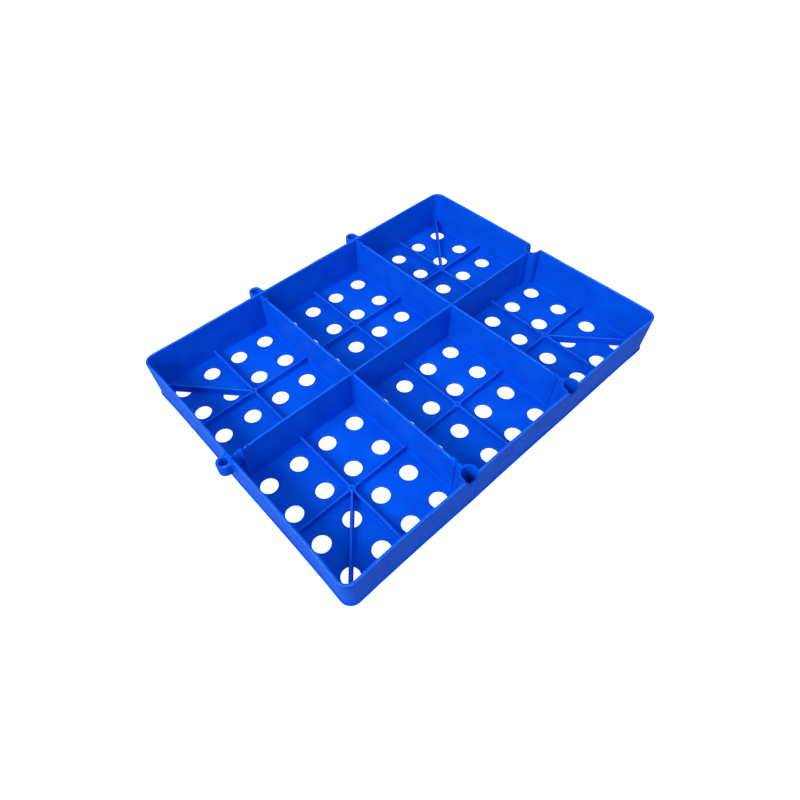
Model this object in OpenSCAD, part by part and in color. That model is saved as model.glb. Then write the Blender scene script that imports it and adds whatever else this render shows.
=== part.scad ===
// Plug tray: an open, one-piece moulded tray of six square-bottomed cells.
// +X runs along the three cells of the long side, +Y across the two rows, +Z up.
// The origin is the middle of the flat underside that the tray rests on.

/* [Tray] */
// Cell pitch along the long side
cell_length = 130; // [110:1:160]
// Cell pitch across the tray
cell_width = 147; // [130:1:180]
// Height from the underside to the rim
tray_height = 45; // [38:1:60]
// Outer radius of the upright corners, at the foot
corner_radius = 10; // [6:0.5:16]

/* [Walls] */
// Thickness of the outer wall at its foot
wall_foot = 2.2; // [1.8:0.1:3]
// Thickness of the outer wall at its rim
wall_rim = 2; // [1.6:0.1:2.4]
// How far the outer wall leans out between foot and rim
wall_lean = 1.2; // [0.4:0.1:1.8]
// Thickness of a divider at the floor
divider_foot = 2.4; // [1.8:0.1:3]
// Thickness of a divider at its top edge
divider_top = 1.8; // [1.2:0.1:2.4]

/* [Floor] */
// Thickness of the cell floors
floor_thickness = 2; // [1.6:0.1:3]
// Drain holes along each side of a cell
holes_per_side = 4; // [2:2:4]
// Diameter of a drain hole
hole_diameter = 16.5; // [8:0.5:20]

/* [Floor ribs] */
// Height of the floor ribs above the floor
rib_height = 8; // [4:0.5:12]
// Thickness of a floor rib
rib_thickness = 1.6; // [1.2:0.1:2.4]
// Diameter of the boss where the ribs cross
boss_diameter = 6; // [5:0.5:9]
// Height of the boss above the ribs
boss_step = 0.6; // [0.2:0.1:1.5]
// Diameter of the dimple in the boss
dimple_diameter = 3; // [2:0.5:4]
// Depth of the dimple in the boss
dimple_depth = 1.5; // [0.5:0.5:3]

/* [Posts] */
// Diameter of the round posts in the dividers
post_diameter = 5; // [4:0.5:7]
// Distance from the rim to the end post behind a lug
post_inset_lug = 12; // [10:0.5:16]
// Distance from the rim to the end post behind a socket
post_inset_socket = 21.5; // [20:0.5:26]

/* [Couplings] */
// Outer diameter of a coupling lug
lug_diameter = 13.2; // [12:0.2:14]
// Bore of a coupling lug
lug_bore = 9; // [6:0.5:9.5]
// Height of a lug, and depth of the notch it drops into
coupling_depth = 12; // [8:1:20]
// Distance from the rim's outer face to the middle of a lug
lug_standoff = 5.2; // [5.2:0.1:5.6]
// Distance from the rim's outer face to the middle of a socket
socket_inset = 5; // [4.6:0.1:5.2]
// Gap all round between a lug and the socket it drops into
socket_clearance = 0.4; // [0.3:0.1:0.6]
// Wall thickness of a socket
socket_wall = 1.6; // [1.2:0.1:2]

/* [Hidden] */
$fn = 64;

tray_blue = [0.02, 0.25, 0.86];

// The outer walls stand on these two lines, and the dividers on the cell grid inside them
wall_line_x = 1.5 * cell_length;
wall_line_y = cell_width;
divider_line_x = 0.5 * cell_length;
// Outward distances from a wall line to the outer faces of the foot and the rim
foot_face = wall_foot / 2;
rim_face = foot_face + wall_lean;
// Radius of the corner, measured to the wall line
corner_line_radius = corner_radius - foot_face;

floor_top = floor_thickness;
rib_top = floor_top + rib_height;
notch_bottom = tray_height - coupling_depth;
post_radius = post_diameter / 2;
lug_radius = lug_diameter / 2;
socket_radius = lug_radius + socket_clearance;
socket_outer_radius = socket_radius + socket_wall;
lug_out = rim_face + lug_standoff;
socket_out = rim_face - socket_inset;
post_out_lug = rim_face - post_inset_lug;
post_out_socket = rim_face - post_inset_socket;
// Cutting solids run this far past the faces that they cut
past = 1;

// ---- Outer wall ----

// Section of the outer wall: X is the outward distance from the wall line, Y is the height
module wall_section() {
    polygon([
        [-foot_face, 0],
        [foot_face, 0],
        [rim_face, tray_height],
        [rim_face - wall_rim, tray_height],
        [-foot_face, floor_top]
    ]);
}

// A straight wall along X with its outer face towards +Y, standing on the line Y = 0
module wall_run(run) {
    translate([-run / 2, 0, 0])
        rotate([90, 0, 90])
            linear_extrude(height = run)
                wall_section();
}

// The quarter-round wall between two straight walls, around its own centre
module wall_corner() {
    rotate_extrude(angle = 90)
        translate([corner_line_radius, 0])
            wall_section();
}

// Straight wall across the back (+Y), or across the front when turned half a turn
module long_wall(turn) {
    rotate([0, 0, turn])
        translate([0, wall_line_y, 0])
            wall_run(2 * (wall_line_x - corner_line_radius));
}

// Straight wall across the left end (-X), or the right end when turned half a turn
module short_wall(turn) {
    rotate([0, 0, turn])
        translate([-wall_line_x, 0, 0])
            rotate([0, 0, 90])
                wall_run(2 * (wall_line_y - corner_line_radius));
}

// Corner in the quadrant given by the signs of X and Y
module tray_corner(side_x, side_y) {
    turn = side_y > 0 ? (side_x > 0 ? 0 : 90) : (side_x > 0 ? 270 : 180);
    translate([
        side_x * (wall_line_x - corner_line_radius),
        side_y * (wall_line_y - corner_line_radius),
        0
    ])
        rotate([0, 0, turn])
            wall_corner();
}

// The whole outer wall, which the floor ribs and dividers end against
module wall_ring() {
    long_wall(0);
    long_wall(180);
    short_wall(0);
    short_wall(180);
    for (side_x = [-1, 1], side_y = [-1, 1])
        tray_corner(side_x, side_y);
}

// Everything inside the foot of the outer wall, up to a height
module inside_foot(height) {
    half_x = wall_line_x - foot_face;
    half_y = wall_line_y - foot_face;
    radius = corner_line_radius - foot_face;
    translate([-half_x, -(half_y - radius), 0])
        cube([2 * half_x, 2 * (half_y - radius), height]);
    translate([-(half_x - radius), -half_y, 0])
        cube([2 * (half_x - radius), 2 * half_y, height]);
    for (side_x = [-1, 1], side_y = [-1, 1])
        translate([side_x * (half_x - radius), side_y * (half_y - radius), 0])
            cylinder(r = radius, h = height);
}

// ---- Dividers and posts ----

// Section of a divider: X is across it, Y is the height
module divider_section() {
    polygon([
        [-divider_foot / 2, 0],
        [divider_foot / 2, 0],
        [divider_foot / 2, floor_top],
        [divider_top / 2, tray_height],
        [-divider_top / 2, tray_height],
        [-divider_foot / 2, floor_top]
    ]);
}

// A divider along X from one place to another
module divider_run(from, to) {
    translate([from, 0, 0])
        rotate([90, 0, 90])
            linear_extrude(height = to - from)
                divider_section();
}

// A divider along Y from one place to another
module cross_run(from, to) {
    rotate([0, 0, 90])
        divider_run(from, to);
}

module post() {
    cylinder(r = post_radius, h = tray_height);
}

// Where each post stands; the lugs are on the left and back, the sockets on the right and front
crossing_places = [for (side = [-1, 1]) [side * divider_line_x, 0]];
left_post = [-wall_line_x - post_out_lug, 0];
right_post = [wall_line_x + post_out_socket, 0];
front_post_y = -wall_line_y - post_out_socket;
back_post_y = wall_line_y + post_out_lug;
front_places = [for (side = [-1, 1]) [side * divider_line_x, front_post_y]];
back_places = [for (side = [-1, 1]) [side * divider_line_x, back_post_y]];

// Middles of the three sockets and the three lugs
socket_places = concat(
    [[wall_line_x + socket_out, 0]],
    [for (side = [-1, 1]) [side * divider_line_x, -wall_line_y - socket_out]]
);
lug_places = concat(
    [[-wall_line_x - lug_out, 0]],
    [for (side = [-1, 1]) [side * divider_line_x, wall_line_y + lug_out]]
);

module at(place) {
    translate([place[0], place[1], 0])
        children();
}

module all_posts() {
    for (place = concat(crossing_places, front_places, back_places, [left_post, right_post]))
        at(place)
            post();
}

module all_dividers() {
    divider_run(-wall_line_x, wall_line_x);
    for (side = [-1, 1])
        translate([side * divider_line_x, 0, 0])
            cross_run(-wall_line_y, wall_line_y);
}

module socket_cores() {
    for (place = socket_places)
        at(place)
            cylinder(r = socket_outer_radius, h = tray_height);
}

// One of the three lengths of the long divider
module long_divider(from, to) {
    color(tray_blue)
        difference() {
            divider_run(from, to);
            all_posts();
        }
}

// One of the four half-width cross dividers
module cross_divider(side_x, from, to) {
    color(tray_blue)
        difference() {
            translate([side_x * divider_line_x, 0, 0])
                cross_run(from, to);
            all_posts();
        }
}

module crossing_post(side_x) {
    color(tray_blue)
        translate([side_x * divider_line_x, 0, 0])
            post();
}

// A post near the outer wall, with the short web that ties it to the wall or the socket
module end_post(place) {
    color(tray_blue)
        difference() {
            union() {
                at(place)
                    post();
                children();
            }
            wall_ring();
            socket_cores();
        }
}

// ---- Floor ----

// Middle of the cell in a column from -1 to 1 and a row of -1 or 1
function cell_middle(column, row) = [column * cell_length, row * cell_width / 2];

module drain_holes() {
    pitch_x = cell_length / holes_per_side;
    pitch_y = cell_width / holes_per_side;
    first = -(holes_per_side - 1) / 2;
    for (i = [0 : holes_per_side - 1], j = [0 : holes_per_side - 1])
        translate([(first + i) * pitch_x, (first + j) * pitch_y, -past])
            cylinder(d = hole_diameter, h = floor_thickness + 2 * past);
}

module floor_panel(column, row) {
    color(tray_blue)
        difference() {
            intersection() {
                at(cell_middle(column, row))
                    translate([-cell_length / 2, -cell_width / 2, 0])
                        cube([cell_length, cell_width, floor_thickness]);
                inside_foot(floor_thickness);
            }
            all_dividers();
            all_posts();
            socket_cores();
            at(cell_middle(column, row))
                drain_holes();
        }
}

// Two crossing ribs that quarter the cell floor, with a dimpled boss where they meet
module rib_cross(column, row) {
    color(tray_blue)
        difference() {
            at(cell_middle(column, row)) {
                translate([-cell_length / 2, -rib_thickness / 2, floor_top])
                    cube([cell_length, rib_thickness, rib_height]);
                translate([-rib_thickness / 2, -cell_width / 2, floor_top])
                    cube([rib_thickness, cell_width, rib_height]);
                translate([0, 0, floor_top])
                    cylinder(d = boss_diameter, h = rib_height + boss_step);
            }
            at(cell_middle(column, row))
                translate([0, 0, rib_top + boss_step - dimple_depth])
                    cylinder(d = dimple_diameter, h = dimple_depth + past);
            wall_ring();
            all_dividers();
        }
}

// A rib from the boss of a corner cell out to the tray's corner
module diagonal_rib(side_x, side_y) {
    middle = cell_middle(side_x, side_y);
    corner_x = cell_length / 2 - corner_line_radius * (1 - sqrt(0.5));
    corner_y = cell_width / 2 - corner_line_radius * (1 - sqrt(0.5));
    color(tray_blue)
        difference() {
            at(middle)
                rotate([0, 0, atan2(side_y * corner_y, side_x * corner_x)])
                    translate([0, -rib_thickness / 2, floor_top])
                        cube([norm([corner_x, corner_y]), rib_thickness, rib_height]);
            at(middle)
                cylinder(d = boss_diameter, h = rib_top + past);
            wall_ring();
        }
}

// ---- Couplings ----

// A notch in the rim for every socket
module socket_notches() {
    for (place = socket_places)
        at(place)
            translate([0, 0, notch_bottom])
                cylinder(r = socket_outer_radius, h = coupling_depth + past);
}

// Everything on the outside of the wall that faces +Y at Y = 0
module outside_face() {
    rotate([90, 0, 90])
        translate([0, 0, -2 * socket_outer_radius])
            linear_extrude(height = 4 * socket_outer_radius)
                polygon([
                    [foot_face, 0],
                    [4 * socket_outer_radius, 0],
                    [4 * socket_outer_radius, tray_height],
                    [rim_face, tray_height]
                ]);
}

// A short tube that stands on the outer face of a wall facing +Y, at X = 0
module lug() {
    color(tray_blue)
        difference() {
            translate([0, lug_out, notch_bottom])
                cylinder(r = lug_radius, h = coupling_depth);
            translate([0, lug_out, notch_bottom - past])
                cylinder(d = lug_bore, h = coupling_depth + 2 * past);
            wall_run(4 * lug_radius);
        }
}

// A round pocket behind a wall facing +Y, open through the wall above the notch's bottom
module socket() {
    color(tray_blue)
        difference() {
            translate([0, socket_out, 0])
                cylinder(r = socket_outer_radius, h = tray_height);
            translate([0, socket_out, floor_top])
                cylinder(r = socket_radius, h = tray_height);
            outside_face();
            difference() {
                wall_run(4 * socket_outer_radius);
                translate([0, socket_out, notch_bottom])
                    cylinder(r = socket_outer_radius, h = coupling_depth + past);
            }
        }
}

// Puts a part drawn at a +Y wall on the wall that the turn about Z faces
module on_wall(turn, line, along) {
    rotate([0, 0, turn])
        translate([along, line, 0])
            children();
}

module notched_wall() {
    color(tray_blue)
        difference() {
            children();
            socket_notches();
        }
}

module plain_wall() {
    color(tray_blue)
        children();
}

// ---- Nodes ----

floor_panel(-1, -1);  // floor_front_left
floor_panel(0, -1);  // floor_front_middle
floor_panel(1, -1);  // floor_front_right
floor_panel(-1, 1);  // floor_back_left
floor_panel(0, 1);  // floor_back_middle
floor_panel(1, 1);  // floor_back_right

rib_cross(-1, -1);  // rib_cross_front_left
rib_cross(0, -1);  // rib_cross_front_middle
rib_cross(1, -1);  // rib_cross_front_right
rib_cross(-1, 1);  // rib_cross_back_left
rib_cross(0, 1);  // rib_cross_back_middle
rib_cross(1, 1);  // rib_cross_back_right

diagonal_rib(-1, -1);  // diagonal_rib_front_left
diagonal_rib(1, -1);  // diagonal_rib_front_right
diagonal_rib(-1, 1);  // diagonal_rib_back_left
diagonal_rib(1, 1);  // diagonal_rib_back_right

notched_wall() long_wall(180);  // front_wall
plain_wall() long_wall(0);  // back_wall
plain_wall() short_wall(0);  // left_wall
notched_wall() short_wall(180);  // right_wall
plain_wall() tray_corner(-1, -1);  // corner_front_left
plain_wall() tray_corner(1, -1);  // corner_front_right
plain_wall() tray_corner(-1, 1);  // corner_back_left
plain_wall() tray_corner(1, 1);  // corner_back_right

long_divider(left_post[0], -divider_line_x);  // long_divider_left
long_divider(-divider_line_x, divider_line_x);  // long_divider_middle
long_divider(divider_line_x, right_post[0]);  // long_divider_right
cross_divider(-1, front_post_y, 0);  // cross_divider_front_left
cross_divider(1, front_post_y, 0);  // cross_divider_front_right
cross_divider(-1, 0, back_post_y);  // cross_divider_back_left
cross_divider(1, 0, back_post_y);  // cross_divider_back_right

crossing_post(-1);  // crossing_post_left
crossing_post(1);  // crossing_post_right
end_post(left_post) divider_run(-wall_line_x, left_post[0]);  // end_post_left
end_post(right_post) divider_run(right_post[0], socket_places[0][0]);  // end_post_right
end_post(front_places[0]) at([-divider_line_x, 0]) cross_run(socket_places[1][1], front_post_y);  // end_post_front_left
end_post(front_places[1]) at([divider_line_x, 0]) cross_run(socket_places[2][1], front_post_y);  // end_post_front_right
end_post(back_places[0]) at([-divider_line_x, 0]) cross_run(back_post_y, wall_line_y);  // end_post_back_left
end_post(back_places[1]) at([divider_line_x, 0]) cross_run(back_post_y, wall_line_y);  // end_post_back_right

on_wall(90, wall_line_x, 0) lug();  // lug_left
on_wall(0, wall_line_y, -divider_line_x) lug();  // lug_back_left
on_wall(0, wall_line_y, divider_line_x) lug();  // lug_back_right
on_wall(270, wall_line_x, 0) socket();  // socket_right
on_wall(180, wall_line_y, divider_line_x) socket();  // socket_front_left
on_wall(180, wall_line_y, -divider_line_x) socket();  // socket_front_right
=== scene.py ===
import math

import bmesh
import bpy
from mathutils import Matrix, Vector, noise
from mathutils.bvhtree import BVHTree


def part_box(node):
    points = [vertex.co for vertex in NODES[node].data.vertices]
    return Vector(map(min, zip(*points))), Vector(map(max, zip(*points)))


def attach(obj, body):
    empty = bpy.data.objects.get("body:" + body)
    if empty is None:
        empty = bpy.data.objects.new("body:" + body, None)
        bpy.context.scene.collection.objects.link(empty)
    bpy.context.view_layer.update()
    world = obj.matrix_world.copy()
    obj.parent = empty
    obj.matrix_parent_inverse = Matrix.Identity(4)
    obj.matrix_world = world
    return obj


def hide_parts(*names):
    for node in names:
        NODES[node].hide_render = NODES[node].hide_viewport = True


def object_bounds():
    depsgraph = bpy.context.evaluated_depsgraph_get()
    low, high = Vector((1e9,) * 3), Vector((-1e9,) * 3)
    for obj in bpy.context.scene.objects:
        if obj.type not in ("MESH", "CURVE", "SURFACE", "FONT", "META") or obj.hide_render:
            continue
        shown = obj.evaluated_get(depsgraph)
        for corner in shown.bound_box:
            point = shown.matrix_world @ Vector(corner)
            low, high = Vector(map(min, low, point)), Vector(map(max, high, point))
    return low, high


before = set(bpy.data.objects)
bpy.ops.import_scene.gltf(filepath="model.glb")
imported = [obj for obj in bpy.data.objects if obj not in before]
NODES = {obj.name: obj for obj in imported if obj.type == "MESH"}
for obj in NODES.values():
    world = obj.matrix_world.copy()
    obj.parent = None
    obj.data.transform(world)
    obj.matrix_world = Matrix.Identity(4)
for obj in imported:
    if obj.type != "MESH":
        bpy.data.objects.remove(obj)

# A blue, one-piece moulded plug tray. Each CAD node is rebuilt as a finer piece of the same
# shape: edges that can be touched are rounded, inner corners get the mould's small fillets,
# and the thin walls wander by a few tenths of a millimetre as real mouldings do.
# Everything is in metres, with +X along the three cells and the underside at Z = 0.

MM = 0.001
CAD_LOW, CAD_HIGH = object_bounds()
FLOOR_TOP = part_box("floor_front_left")[1][2]
RIM = CAD_HIGH.z

EDGE_RADIUS = 0.5 * MM
ROUNDING_STEPS = 3
HOLE_EDGE_RADIUS = 0.35 * MM
NOTCH_LIP_RADIUS = 5 * MM
FOOT_RADIUS = 0.8 * MM
FILLET = 1.2 * MM
LUG_FILLET = 3.5 * MM
LUG_BORE = 4.5 * MM
LUG_SUNK = 0.9 * MM
SHOULDER_STEPS = 8
END_STEPS = 32
BORE_STEPS = 40
SOCKET_RADIUS = 7 * MM
SOCKET_OUTER_RADIUS = 8.6 * MM
SHARP = math.radians(30)
CREASE = math.radians(40)
FLAT = math.radians(0.5)
NUDGE = 0.1 * MM
SAME_PLACE = 0.001 * MM

# The pieces are cut on shared planes this far apart; the flash on the end posts needs more
CUT_PITCH = {"floor": 4 * MM, "end_post": 1 * MM}
USUAL_PITCH = 2 * MM
UPRIGHT_PITCH = 7 * MM
# Off the round numbers, so that a cut doesn't run along a face
PLANE_OFFSET = 0.137 * MM

# How the moulding wanders: the length of each wave, its height, and a place in the noise
WANDERING = (
    (70 * MM, 0.5 * MM, Vector((3.1, 7.7, 0.4))),
    (14 * MM, 0.15 * MM, Vector((9.2, 1.3, 5.8))),
)

# The left and front walls bow inward: how far, how long each bow is, and where one starts.
# Fitted so that the outline agrees with the photograph's; not a feature that can be seen in it.
# The fit was made with flare_foot's ridge in place, so without the ridge the foot needs another.
WALL_BOWS = ((1.9 * MM, 147 * MM, 0), (1.4 * MM, 130 * MM, 65 * MM))
BOW_REACH = 14 * MM
BOW_RUN_OUT = 30 * MM
# The share of a bow that is left beside a divider, and at the foot
BOW_LEAST = 0.45

# The cross dividers stand at this distance from the middle and lean at the rim. Also fitted:
# the lean hides more of the drain holes behind them, and is more than was measured.
CROSS_LINE = 65 * MM
CROSS_LEAN = 0.8 * MM
LEAN_REACH = 10 * MM

# The ragged flash: how far it spreads from a post and down from the rim, and its coarseness
FLASH_REACH = 13 * MM
FLASH_DEPTH = 4 * MM
FLASH_GRAIN = 1.9 * MM
FLASH_SIZE = 2.2 * MM

# The foot of the outer wall, a rounded rectangle
WALL_LEAN = 1.2 * MM
FOOT_HIGH = Vector((
    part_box("right_wall")[1][0] - WALL_LEAN,
    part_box("back_wall")[1][1] - WALL_LEAN,
    0,
))
CORNER_RADIUS = 10 * MM
END_POSTS = [name for name in NODES if name.startswith("end_post")]

# Blender starts its noise from the clock unless it is given a number other than zero
NOISE_SEED = 5
noise.seed_set(NOISE_SEED)


# ---- Reading the CAD nodes ----

def cad_copy(name):
    """A bmesh of the node's CAD solid with its flat faces merged."""
    bm = bmesh.new()
    bm.from_mesh(NODES[name].data)
    bmesh.ops.remove_doubles(bm, verts=bm.verts, dist=SAME_PLACE)
    bmesh.ops.dissolve_limit(bm, angle_limit=FLAT, verts=bm.verts, edges=bm.edges)
    bm.normal_update()
    return bm


def solid_tree(name):
    """A search tree of the node's CAD surface."""
    bm = bmesh.new()
    bm.from_mesh(NODES[name].data)
    tree = BVHTree.FromBMesh(bm)
    bm.free()
    return tree


TREES = {name: solid_tree(name) for name in NODES}
BOXES = {name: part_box(name) for name in NODES}


def post_place(name):
    """Where an end post's round part stands: at the end of its box away from the wall."""
    low, high = BOXES[name]
    radius = min(high[0] - low[0], high[1] - low[1]) / 2
    x, y = (low[0] + high[0]) / 2, (low[1] + high[1]) / 2
    if high[0] - low[0] > high[1] - low[1]:
        x = high[0] - radius if x < 0 else low[0] + radius
    else:
        y = high[1] - radius if y < 0 else low[1] + radius
    return x, y


END_POST_PLACES = [post_place(name) for name in END_POSTS]


def socket_place(name):
    """The middle of a socket and the direction out of the tray that its notch faces."""
    low, high = BOXES[name]
    if name == "socket_right":
        return Vector((low[0] + SOCKET_OUTER_RADIUS, (low[1] + high[1]) / 2, 0)), Vector((1, 0, 0))
    return Vector(((low[0] + high[0]) / 2, high[1] - SOCKET_OUTER_RADIUS, 0)), Vector((0, -1, 0))


SOCKETS = {name: socket_place(name) for name in NODES if name.startswith("socket")}


def buried(point, own):
    """True if the point is inside any node but its own."""
    for name, (low, high) in BOXES.items():
        if name == own or any(not low[i] <= point[i] <= high[i] for i in range(3)):
            continue
        found, normal, _, _ = TREES[name].find_nearest(point)
        if (point - found).dot(normal) < 0:
            return True
    return False


def bare_edge(edge, own):
    """True if the edge is an outside edge and nothing else is moulded onto it."""
    if len(edge.link_faces) != 2 or not edge.is_convex or edge.calc_face_angle(0) < SHARP:
        return False
    start, along = edge.verts[0].co, edge.verts[1].co - edge.verts[0].co
    first, second = (face.normal for face in edge.link_faces)
    # Three points a little way off the edge: straight out of it, and beside each of its faces
    offsets = [(first + second) * NUDGE, (first - second * 3) * NUDGE, (second - first * 3) * NUDGE]
    places = [start + along * share for share in (0.1, 0.3, 0.5, 0.7, 0.9)]
    covered = sum(any(buried(place + offset, own) for offset in offsets) for place in places)
    return covered <= 1


# ---- Refining a copy ----

def round_edges(bm, edges, radius):
    """Rounds the edges, and marks the faces of the rounding for the painted edge highlight."""
    marks = bm.faces.layers.int.new("rounding")
    made = bmesh.ops.bevel(bm, geom=edges, offset=radius, offset_type="OFFSET",
                           segments=ROUNDING_STEPS, profile=0.5, affect="EDGES",
                           clamp_overlap=True)
    for face in made["faces"]:
        face[marks] = 1
    bmesh.ops.remove_doubles(bm, verts=bm.verts, dist=SAME_PLACE)


def paint_edge_highlight(bm):
    """Gives each vertex in the middle of a rounding the full painted edge highlight, and the others
    none.
    """
    marks = bm.faces.layers.int["rounding"]
    edge_highlight = bm.verts.layers.float.new("edge_highlight")
    for vert in bm.verts:
        vert[edge_highlight] = float(all(face[marks] for face in vert.link_faces))


def steps(low, high, pitch):
    """The multiples of a pitch between two values."""
    first, last = math.ceil(low / pitch), math.floor(high / pitch)
    return [pitch * i for i in range(first, last + 1)]


def cut_at(bm, axis, value):
    """Cuts the faces along the plane where one coordinate has the value."""
    normal = Vector()
    normal[axis] = 1
    bmesh.ops.bisect_plane(bm, geom=bm.verts[:] + bm.edges[:] + bm.faces[:], dist=0.01 * MM,
                           plane_co=normal * value, plane_no=normal)


def cut_finely(bm, own):
    """Cuts the faces on planes that all the nodes share, so that neighbours move alike."""
    low, high = BOXES[own]
    pitch = next((size for kind, size in CUT_PITCH.items() if own.startswith(kind)), USUAL_PITCH)
    for axis in (0, 1):
        for value in steps(low[axis], high[axis], pitch):
            cut_at(bm, axis, value + PLANE_OFFSET)
    heights = [FLOOR_TOP + FILLET * share for share in (0, 0.08, 0.25, 0.5, 1)]
    heights += [FOOT_RADIUS * share for share in (0.1, 0.25, 0.5, 0.75)]
    heights += steps(low[2] + 4 * MM, high[2] - 2 * MM, UPRIGHT_PITCH)
    heights += [RIM - 1 * MM, RIM - 2.5 * MM]
    for value in heights:
        if low[2] < value < high[2]:
            cut_at(bm, 2, value)


def flare_foot(bm):
    """Widens upright faces at the cell floor's height, as the mould's fillet does.

    Known fault: it widens the tray's outward faces too, where there is no floor to meet. That
    leaves a sharp ridge, as high as the fillet, around the outside. It isn't on the real tray.
    """
    bm.normal_update()
    moves = []
    for vert in bm.verts:
        rise = vert.co.z - FLOOR_TOP
        side = Vector((vert.normal.x, vert.normal.y, 0))
        if -0.01 * MM < rise < FILLET and side.length > 0.5:
            sag = FILLET - math.sqrt(max(0, FILLET ** 2 - (FILLET - rise) ** 2))
            moves.append((vert, side.normalized() * sag))
    for vert, move in moves:
        vert.co += move


def drift(point):
    """How far the moulding wanders from the drawing at a point; nothing at the underside."""
    lift = min(1, max(0, point.z / RIM))
    move = Vector()
    for length, height, place in WANDERING:
        move += noise.noise_vector(point / length + place) * height
    move *= lift
    move.z = -abs(move.z)
    return move


def bow(point):
    """How far the left and front walls are drawn in between the dividers that hold them."""
    move = Vector()
    for axis, (pull, cell, start) in enumerate(WALL_BOWS):
        along = point[1 - axis]
        to_corner = FOOT_HIGH[1 - axis] - abs(along)
        held = min(1, max(0, to_corner / BOW_RUN_OUT))
        wave = BOW_LEAST + (1 - BOW_LEAST) * abs(math.sin(math.pi * (along - start) / cell))
        reach = min(1, max(0, 1 - (point[axis] + FOOT_HIGH[axis]) / BOW_REACH))
        rise = BOW_LEAST + (1 - BOW_LEAST) * point.z / RIM
        move[axis] = pull * held * wave * reach * rise
    return move


def lean(point):
    """How far the cross dividers lean to the right, all of it above the floor."""
    near = max(0, 1 - abs(abs(point.x) - CROSS_LINE) / LEAN_REACH)
    return Vector((CROSS_LEAN * near * point.z / RIM, 0, 0))


def flash(point):
    """The torn flash that a mould leaves on the rim around each end post."""
    near = min(math.hypot(point.x - x, point.y - y) for x, y in END_POST_PLACES)
    share = max(0, 1 - near / FLASH_REACH) * max(0, 1 - (RIM - point.z) / FLASH_DEPTH)
    if share == 0:
        return Vector()
    move = noise.noise_vector(point / FLASH_GRAIN) * FLASH_SIZE * min(1, share * 1.6)
    move.z = -abs(move.z) * 1.2
    return move


def rounded_foot(point):
    """Draws a point in to the rounding along the outer edge of the underside."""
    out = Vector((abs(point.x), abs(point.y))) - (FOOT_HIGH.xy - Vector((1, 1)) * CORNER_RADIUS)
    if out.x > 0 and out.y > 0:
        inset, outward = CORNER_RADIUS - out.length, out.normalized()
    elif out.x > out.y:
        inset, outward = CORNER_RADIUS - out.x, Vector((1, 0))
    else:
        inset, outward = CORNER_RADIUS - out.y, Vector((0, 1))
    from_centre = Vector((FOOT_RADIUS - inset, FOOT_RADIUS - point.z))
    if min(from_centre) <= 0 or from_centre.length <= FOOT_RADIUS:
        return point
    onto = from_centre.normalized() * FOOT_RADIUS
    inward = from_centre.x - onto.x
    return Vector((
        point.x - math.copysign(outward.x * inward, point.x),
        point.y - math.copysign(outward.y * inward, point.y),
        FOOT_RADIUS - onto.y,
    ))


def rounded_lip(point):
    """Draws a point on the rim down into the rounding beside a notch."""
    depth = RIM - point.z
    if depth >= NOTCH_LIP_RADIUS:
        return point
    for name, (middle, outward) in SOCKETS.items():
        offset = point - middle
        out = offset.dot(outward)
        along = Vector((offset.x, offset.y, 0)) - outward * out
        if not 0.3 * SOCKET_RADIUS < out < SOCKET_RADIUS or along.length > 3 * SOCKET_RADIUS:
            continue
        inset = along.length - math.sqrt(SOCKET_RADIUS ** 2 - out ** 2)
        from_centre = Vector((NOTCH_LIP_RADIUS - inset, NOTCH_LIP_RADIUS - depth))
        if from_centre.x <= 0 or from_centre.length <= NOTCH_LIP_RADIUS:
            return point
        onto = from_centre.normalized() * NOTCH_LIP_RADIUS
        inward = along.normalized() * (from_centre.x - onto.x)
        return point + inward - Vector((0, 0, from_centre.y - onto.y))
    return point


def settle(bm):
    """Moves each vertex to its place on the real moulding, inside the CAD's box."""
    for vert in bm.verts:
        moved = rounded_lip(rounded_foot(vert.co))
        moved = moved + drift(moved) + bow(moved) + lean(moved) + flash(moved)
        vert.co = [min(max(moved[i], CAD_LOW[i]), CAD_HIGH[i]) for i in range(3)]


def shade(mesh):
    """Smooth shading, but crisp where two faces meet at a clear angle."""
    for face in mesh.polygons:
        face.use_smooth = True
    mesh.set_sharp_from_angle(angle=CREASE)


def in_fixed_order(bm):
    """A copy with its points and faces in a fixed order; cutting leaves them in any order."""
    copy = bmesh.new()
    # The layer of the painted edge highlight goes along with the copy
    edge_highlight, copied_highlight = bm.verts.layers.float["edge_highlight"], copy.verts.layers.float.new("edge_highlight")
    copies = {}
    for vert in sorted(bm.verts, key=lambda vert: vert.co[:]):
        made = copy.verts.new(vert.co)
        made[copied_highlight] = vert[edge_highlight]
        copies[vert] = made
    copy.verts.index_update()
    loops = []
    for face in bm.faces:
        loop = [copies[vert].index for vert in face.verts]
        first = loop.index(min(loop))
        loops.append(loop[first:] + loop[:first])
    copy.verts.ensure_lookup_table()
    for loop in sorted(loops):
        copy.faces.new([copy.verts[index] for index in loop])
    bm.free()
    return copy


def finished_piece(bm, name, node, material):
    """Turns the bmesh into an object that takes the node's place."""
    bm = in_fixed_order(bm)
    mesh = bpy.data.meshes.new(name)
    bmesh.ops.triangulate(bm, faces=[face for face in bm.faces if len(face.verts) > 4])
    bm.to_mesh(mesh)
    bm.free()
    shade(mesh)
    mesh.materials.append(material)
    piece = bpy.data.objects.new(name, mesh)
    bpy.context.scene.collection.objects.link(piece)
    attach(piece, "root")
    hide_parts(node)
    return piece


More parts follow.
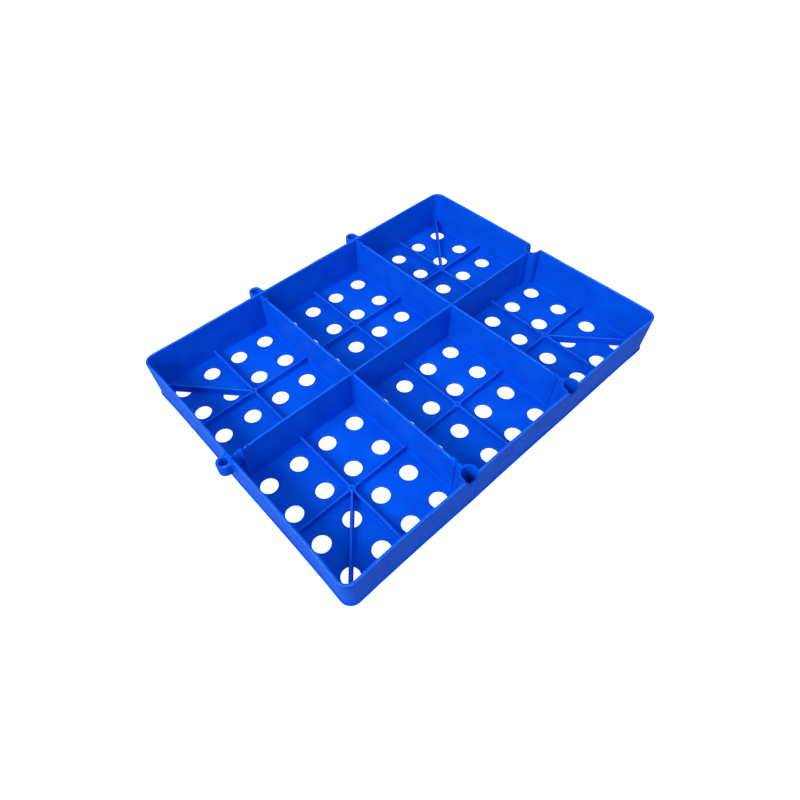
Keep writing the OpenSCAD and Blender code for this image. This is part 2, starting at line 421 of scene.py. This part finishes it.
def lug_outline(radius, middle):
    """A lug from above, reaching out along +Y: a round end on two hollow shoulders."""
    foot = math.sqrt((radius + LUG_FILLET) ** 2 - (middle - LUG_FILLET) ** 2)
    turn = math.atan2(middle - LUG_FILLET, foot)
    shoulder = [(foot, -LUG_SUNK), (foot, 0)]
    for i in range(1, SHOULDER_STEPS + 1):
        angle = -math.pi / 2 - (math.pi / 2 - turn) * i / SHOULDER_STEPS
        x, y = LUG_FILLET * math.cos(angle), LUG_FILLET * math.sin(angle)
        shoulder.append((foot + x, LUG_FILLET + y))
    round_end = []
    for i in range(1, END_STEPS):
        angle = -turn + (math.pi + 2 * turn) * i / END_STEPS
        round_end.append((radius * math.cos(angle), middle + radius * math.sin(angle)))
    return shoulder + round_end + [(-x, y) for x, y in reversed(shoulder)]


def lug_bmesh(node):
    """A coupling lug with the shoulders that blend it into the outer wall."""
    low, high = (Vector(corner) for corner in BOXES[node])
    size = high - low
    radius = max(size.x, size.y) / 2
    middle = min(size.x, size.y) - radius
    turns = [math.tau * i / BORE_STEPS for i in range(BORE_STEPS)]
    bore = [(LUG_BORE * math.cos(turn), middle + LUG_BORE * math.sin(turn)) for turn in turns]
    bm = ring_between(lug_outline(radius, middle), bore, size.z)
    if size.x < size.y:
        place = Matrix.Translation((high.x, (low.y + high.y) / 2, low.z))
        bm.transform(place @ Matrix.Rotation(math.pi / 2, 4, "Z"))
    else:
        bm.transform(Matrix.Translation(((low.x + high.x) / 2, low.y, low.z)))
    return bm


def ring_between(outline, hole, height):
    """A plate with a hole, from two loops of points."""
    bm = bmesh.new()
    loops = [[bm.verts.new((x, y, 0)) for x, y in points] for points in (outline, hole)]
    edges = [bm.edges.new((loop[i - 1], loop[i])) for loop in loops for i in range(len(loop))]
    bmesh.ops.triangle_fill(bm, edges=edges, use_beauty=True)
    inner_edges = [edge for edge in bm.edges if len(edge.link_faces) == 2]
    bmesh.ops.dissolve_limit(bm, angle_limit=0.01, verts=[], edges=inner_edges)
    raised = bmesh.ops.extrude_face_region(bm, geom=bm.faces[:], use_keep_orig=True)
    lifted = [item for item in raised["geom"] if isinstance(item, bmesh.types.BMVert)]
    bmesh.ops.translate(bm, verts=lifted, vec=(0, 0, height))
    bmesh.ops.recalc_face_normals(bm, faces=bm.faces)
    return bm


def moulded(node, material):
    """The finished piece that stands for one CAD node."""
    if node.startswith("lug"):
        bm = lug_bmesh(node)
        edges = [edge for edge in bm.edges if edge.calc_face_angle(0) > SHARP]
    else:
        bm = cad_copy(node)
        edges = [edge for edge in bm.edges if bare_edge(edge, node)]
    round_edges(bm, edges, HOLE_EDGE_RADIUS if node.startswith("floor") else EDGE_RADIUS)
    cut_finely(bm, node)
    paint_edge_highlight(bm)
    if not node.startswith(("floor", "lug")):
        flare_foot(bm)
    settle(bm)
    return finished_piece(bm, "moulded_" + node, node, material)


# ---- Material ----

DEEP_BLUE = (0.001, 0.063, 0.545)
CLEAR_BLUE = (0.001, 0.084, 0.625)
# A paler blue, painted on the rounded edges as a highlight
HIGHLIGHT_BLUE = (0.04, 0.21, 0.95)
SHEEN = (0.05, 0.35, 1, 1)


def add_node(tree, kind, **values):
    """A new shader node; each value sets the input socket of that name, or else a property."""
    made = tree.nodes.new(kind)
    for key, value in values.items():
        if key in made.inputs:
            made.inputs[key].default_value = value
        else:
            setattr(made, key, value)
    return made


def noise_from(tree, coordinates, scale, detail=3.0):
    """Soft noise at the coordinates; a larger scale is a finer noise."""
    made = add_node(tree, "ShaderNodeTexNoise", Scale=scale, Detail=detail, Roughness=0.5)
    tree.links.new(coordinates, made.inputs["Vector"])
    return made.outputs["Fac"]


def ranged(tree, value, from_low, from_high, to_low, to_high):
    """The value carried from one range to another, and held inside it."""
    made = add_node(tree, "ShaderNodeMapRange")
    for socket, number in zip(("From Min", "From Max", "To Min", "To Max"),
                              (from_low, from_high, to_low, to_high)):
        made.inputs[socket].default_value = number
    tree.links.new(value, made.inputs["Value"])
    return made.outputs["Result"]


def mixed(tree, share, first, second):
    """A blend of two colours, each a tuple or another node's output."""
    made = add_node(tree, "ShaderNodeMix", data_type="RGBA")
    tree.links.new(share, made.inputs["Factor"])
    for socket, colour in ((made.inputs[6], first), (made.inputs[7], second)):
        if isinstance(colour, tuple):
            socket.default_value = (*colour, 1)
        else:
            tree.links.new(colour, socket)
    return made.outputs[2]


def blue_polypropylene():
    """Satin moulded plastic: mottled blue, finely grained, with a paler blue painted on the rounded
    edges as a highlight.
    """
    material = bpy.data.materials.new("blue_polypropylene")
    material.use_nodes = True
    tree = material.node_tree
    shader = tree.nodes["Principled BSDF"]
    place = add_node(tree, "ShaderNodeTexCoord").outputs["Object"]

    mottle = ranged(tree, noise_from(tree, place, 45), 0.3, 0.7, 0, 1)
    blue = mixed(tree, mottle, DEEP_BLUE, CLEAR_BLUE)
    patchy = ranged(tree, noise_from(tree, place, 420), 0.3, 0.6, 0.35, 1)
    # The middle of each rounding is painted paler, broken up by noise: a painted edge highlight
    edge_highlight = add_node(tree, "ShaderNodeAttribute", attribute_name="edge_highlight").outputs["Fac"]
    highlight_share = add_node(tree, "ShaderNodeMath", operation="MULTIPLY")
    tree.links.new(patchy, highlight_share.inputs[0])
    tree.links.new(edge_highlight, highlight_share.inputs[1])
    blue = mixed(tree, highlight_share.outputs[0], blue, HIGHLIGHT_BLUE)
    tree.links.new(blue, shader.inputs["Base Color"])

    gloss = ranged(tree, noise_from(tree, place, 260), 0.25, 0.75, 0.36, 0.5)
    tree.links.new(gloss, shader.inputs["Roughness"])
    shader.inputs["IOR"].default_value = 1.49
    shader.inputs["Specular IOR Level"].default_value = 0.03
    shader.inputs["Specular Tint"].default_value = SHEEN

    grain = noise_from(tree, place, 1400, detail=2.0)
    bump = add_node(tree, "ShaderNodeBump", Strength=0.25, Distance=0.05 * MM)
    tree.links.new(grain, bump.inputs["Height"])
    tree.links.new(bump.outputs["Normal"], shader.inputs["Normal"])
    return material


# ---- Studio ----

def studio_floor():
    """A plain pale floor, just under the tray."""
    bm = bmesh.new()
    bmesh.ops.create_grid(bm, x_segments=8, y_segments=8, size=12)
    mesh = bpy.data.meshes.new("studio_floor")
    bm.to_mesh(mesh)
    bm.free()
    floor = bpy.data.objects.new("studio_floor", mesh)
    floor.location.z = -0.3 * MM
    material = bpy.data.materials.new("pale_floor")
    material.use_nodes = True
    shader = material.node_tree.nodes["Principled BSDF"]
    shader.inputs["Base Color"].default_value = (0.3, 0.3, 0.3, 1)
    shader.inputs["Emission Color"].default_value = (1, 1, 1, 1)
    shader.inputs["Emission Strength"].default_value = 1
    shader.inputs["Roughness"].default_value = 0.9
    shader.inputs["Specular IOR Level"].default_value = 0.1
    mesh.materials.append(material)
    bpy.context.scene.collection.objects.link(floor)
    # The floor is bright enough to read as white, but casts no light of its own on the tray
    floor.visible_diffuse = False
    floor.visible_glossy = False


def soft_light(name, towards, distance, size, power):
    """A square area light in a direction given by azimuth from +X and elevation, in degrees."""
    azimuth, elevation = (math.radians(angle) for angle in towards)
    direction = Vector((
        math.cos(azimuth) * math.cos(elevation),
        math.sin(azimuth) * math.cos(elevation),
        math.sin(elevation),
    ))
    data = bpy.data.lights.new(name, "AREA")
    data.size = size
    data.energy = power
    light = bpy.data.objects.new(name, data)
    light.location = direction * distance
    light.rotation_euler = direction.to_track_quat("Z", "Y").to_euler()
    bpy.context.scene.collection.objects.link(light)


def studio_sky():
    """A pale sky that is dimmer below the horizon."""
    world = bpy.data.worlds.new("studio")
    world.use_nodes = True
    tree = world.node_tree
    background = tree.nodes["Background"]
    background.inputs["Color"].default_value = (0.74, 0.9, 1, 1)
    direction = add_node(tree, "ShaderNodeTexCoord").outputs["Generated"]
    split = add_node(tree, "ShaderNodeSeparateXYZ")
    tree.links.new(direction, split.inputs[0])
    glow = ranged(tree, split.outputs["Z"], -0.2, 0.3, 0.6, 0.8)
    tree.links.new(glow, background.inputs["Strength"])
    bpy.context.scene.world = world


def camera():
    """The photograph's camera: its place, heading from +X, tilt, roll and lens."""
    heading, tilt, roll = math.radians(50.107), math.radians(-52.292), math.radians(-2.975)
    forward = Vector((
        math.cos(heading) * math.cos(tilt),
        math.sin(heading) * math.cos(tilt),
        math.sin(tilt),
    ))
    level_right = Vector((math.sin(heading), -math.cos(heading), 0))
    right = Matrix.Rotation(-roll, 3, forward) @ level_right
    up = right.cross(forward)
    data = bpy.data.cameras.new("camera")
    data.lens = 25.491
    data.sensor_width = 36
    data.shift_x = 0.0188
    data.shift_y = 0.0036
    made = bpy.data.objects.new("camera", data)
    turn = Matrix((right, up, -forward)).transposed()
    made.matrix_world = Matrix.Translation((-0.25831, -0.27633, 0.4329)) @ turn.to_4x4()
    bpy.context.scene.collection.objects.link(made)
    bpy.context.scene.camera = made


# ---- The whole scene ----


camera()
studio_sky()
soft_light("key", towards=(185, 40), distance=2.2, size=1.1, power=47)
soft_light("fill", towards=(-60, 60), distance=2.4, size=2.0, power=14)
studio_floor()
bpy.context.scene.view_settings.view_transform = "Standard"

plastic = blue_polypropylene()
for node in NODES:
    moulded(node, plastic)
